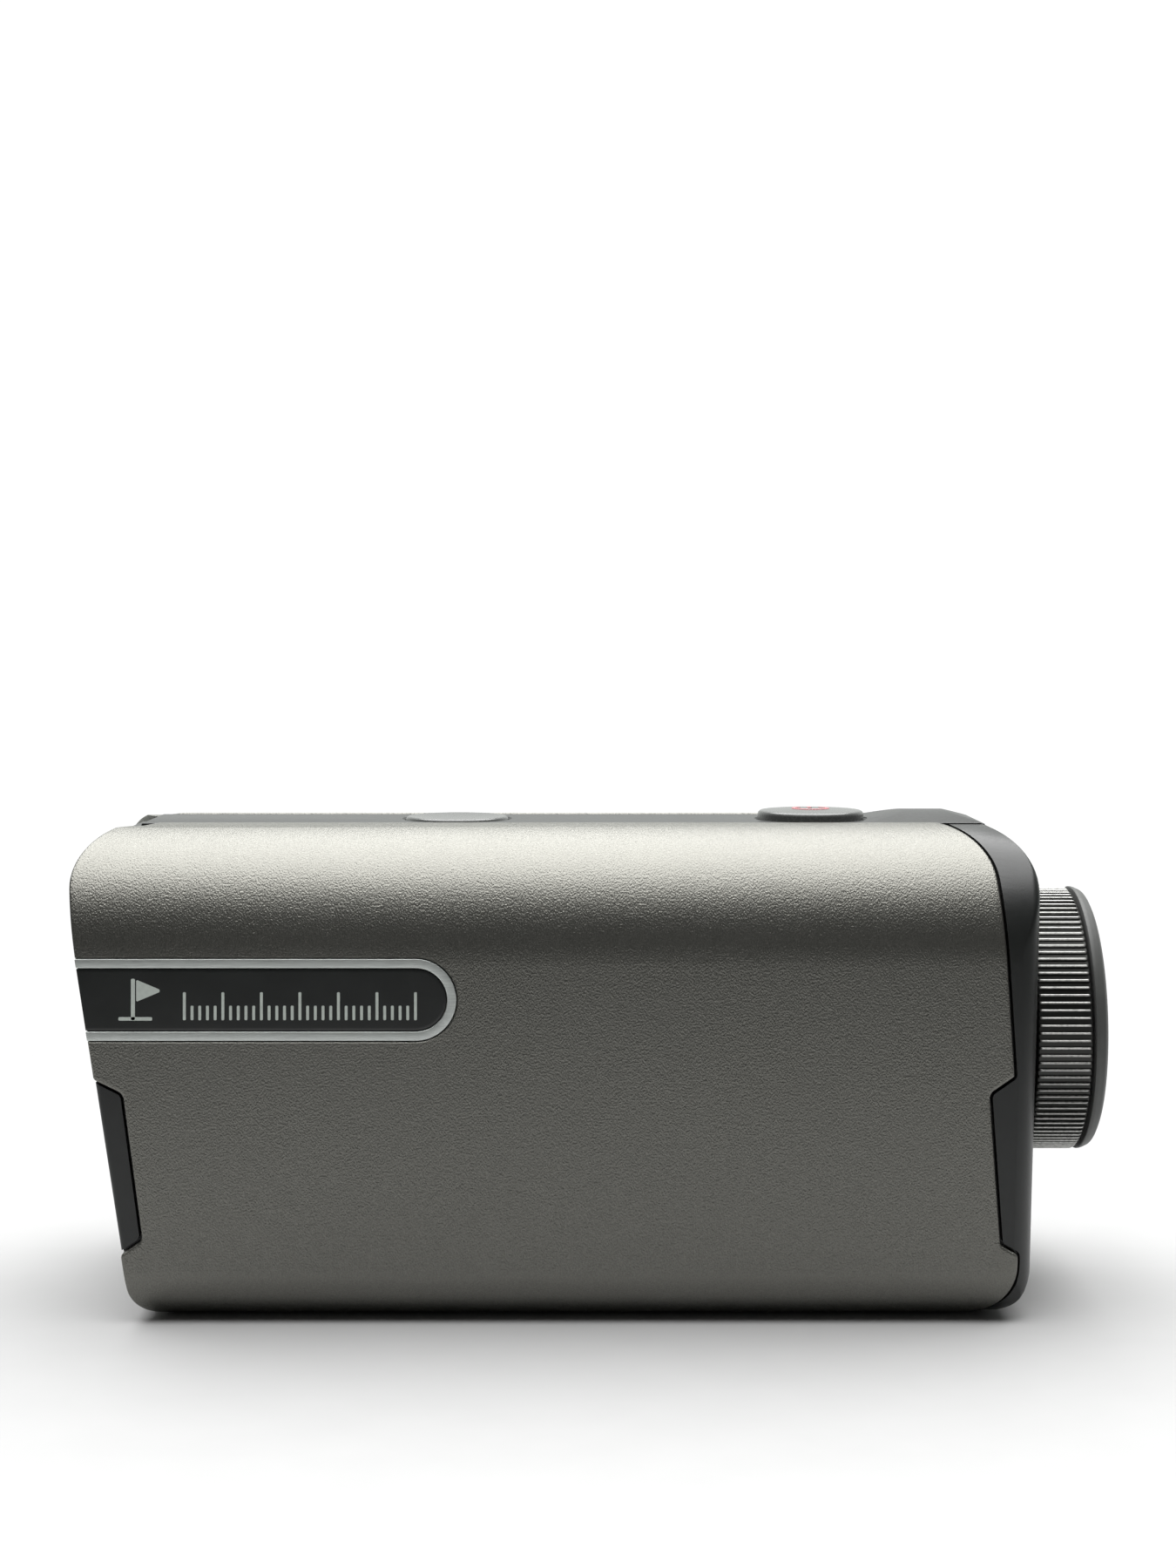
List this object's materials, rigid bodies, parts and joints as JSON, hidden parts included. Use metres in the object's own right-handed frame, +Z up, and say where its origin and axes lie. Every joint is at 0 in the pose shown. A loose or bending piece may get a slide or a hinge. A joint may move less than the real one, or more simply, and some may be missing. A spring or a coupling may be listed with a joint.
{
  "type": "golf laser rangefinder",
  "caption": "Handheld golf laser rangefinder: metallic side covers on a black body, ribbed dioptre ring with eyecup, push buttons on top and a hinged USB flap.",
  "frame": {"origin": "centre of the bottom of the bounding box, on the surface that the object stands on", "axes": "+X along the optical axis towards the eyepiece, +Z up, +Y towards the side away from the badge"},
  "size_m": [0.1099, 0.04, 0.0522],
  "materials": {
    "cover_paint": "satin metallic grey paint with a fine leather grain",
    "black_plastic": "matte black moulded plastic, fine spark texture",
    "badge_gloss": "glossy black inlay",
    "badge_silver": "satin silver trim",
    "ring_metal": "ribbed, bead-blasted and clear anodised",
    "rubber": "soft matte black rubber",
    "lens_glass": "polished and coated",
    "anodised_black": "black anodised",
    "circuit_board": "solder mask over glass-epoxy laminate",
    "plated_steel": "plated",
    "cell_wrap": "wrapped pouch cell",
    "flex_film": "polyimide film"
  },
  "bodies": {
    "body": {"left_cover": "cover_paint", "right_cover": "cover_paint", "chassis": "black_plastic", "front_bezel": "black_plastic", "rear_frame": "black_plastic", "top_panel": "black_plastic", "base_panel": "black_plastic", "badge_plate": "badge_gloss", "badge_trim": "badge_silver", "collar_seal": "rubber", "battery_pad": "rubber", "objective_lens": "lens_glass", "laser_lens": "lens_glass", "prism_front": "lens_glass", "prism_rear": "lens_glass", "display_glass": "lens_glass", "objective_barrel": "anodised_black", "objective_retainer": "anodised_black", "laser_barrel": "anodised_black", "laser_retainer": "anodised_black", "prism_housing": "anodised_black", "display_frame": "anodised_black", "eyepiece_collar": "anodised_black", "laser_board": "circuit_board", "main_board": "circuit_board", "button_board": "circuit_board", "usb_board": "circuit_board", "laser_diode": "plated_steel", "receiver_module": "plated_steel", "mode_switch": "plated_steel", "power_switch": "plated_steel", "processor_shield": "plated_steel", "usb_port": "plated_steel", "magnet_front": "plated_steel", "magnet_rear": "plated_steel", "lanyard_pin": "plated_steel", "rear_frame_screw_1": "plated_steel", "rear_frame_screw_2": "plated_steel", "rear_frame_screw_3": "plated_steel", "rear_frame_screw_4": "plated_steel", "base_screw_1": "plated_steel", "base_screw_2": "plated_steel", "base_screw_3": "plated_steel", "base_screw_4": "plated_steel", "battery": "cell_wrap", "board_ribbon": "flex_film"},
    "diopter": {"diopter_ring": "ring_metal", "eyecup": "rubber"},
    "lens_group": {"lens_carrier": "anodised_black", "field_lens": "lens_glass", "lens_spacer": "anodised_black", "eye_lens": "lens_glass", "eye_lens_retainer": "anodised_black", "carrier_pin": "plated_steel"},
    "mode_cap": {"mode_button": "rubber", "mode_plunger": "black_plastic"},
    "power_cap": {"power_button": "rubber", "power_plunger": "black_plastic"},
    "usb_cover": {"usb_flap": "rubber"}
  },
  "joints": [
    {"name": "diopter_turn", "type": "hinge", "parent": "body", "child": "diopter", "pos_m": [0.0505, 0, 0.0289], "axis": [1, 0, 0], "range_deg": [-120, 120]},
    {"name": "lens_travel", "type": "slide", "parent": "body", "child": "lens_group", "axis": [1, 0, 0], "range_m": [-0.0012, 0.0012]},
    {"name": "mode_press", "type": "slide", "parent": "body", "child": "mode_cap", "axis": [0, 0, -1], "range_m": [0, 0.0006], "stiffness_N_per_m": 600},
    {"name": "power_press", "type": "slide", "parent": "body", "child": "power_cap", "axis": [0, 0, -1], "range_m": [0, 0.0006], "stiffness_N_per_m": 600},
    {"name": "flap_open", "type": "hinge", "parent": "body", "child": "usb_cover", "pos_m": [0.046, 0.007, 0.0086], "axis": [0, 0, 1], "range_deg": [0, 110]}
  ],
  "couplings": [
    {"joint": "diopter_turn", "follows": "lens_travel", "rad_per_m": 1745.3}
  ]
}
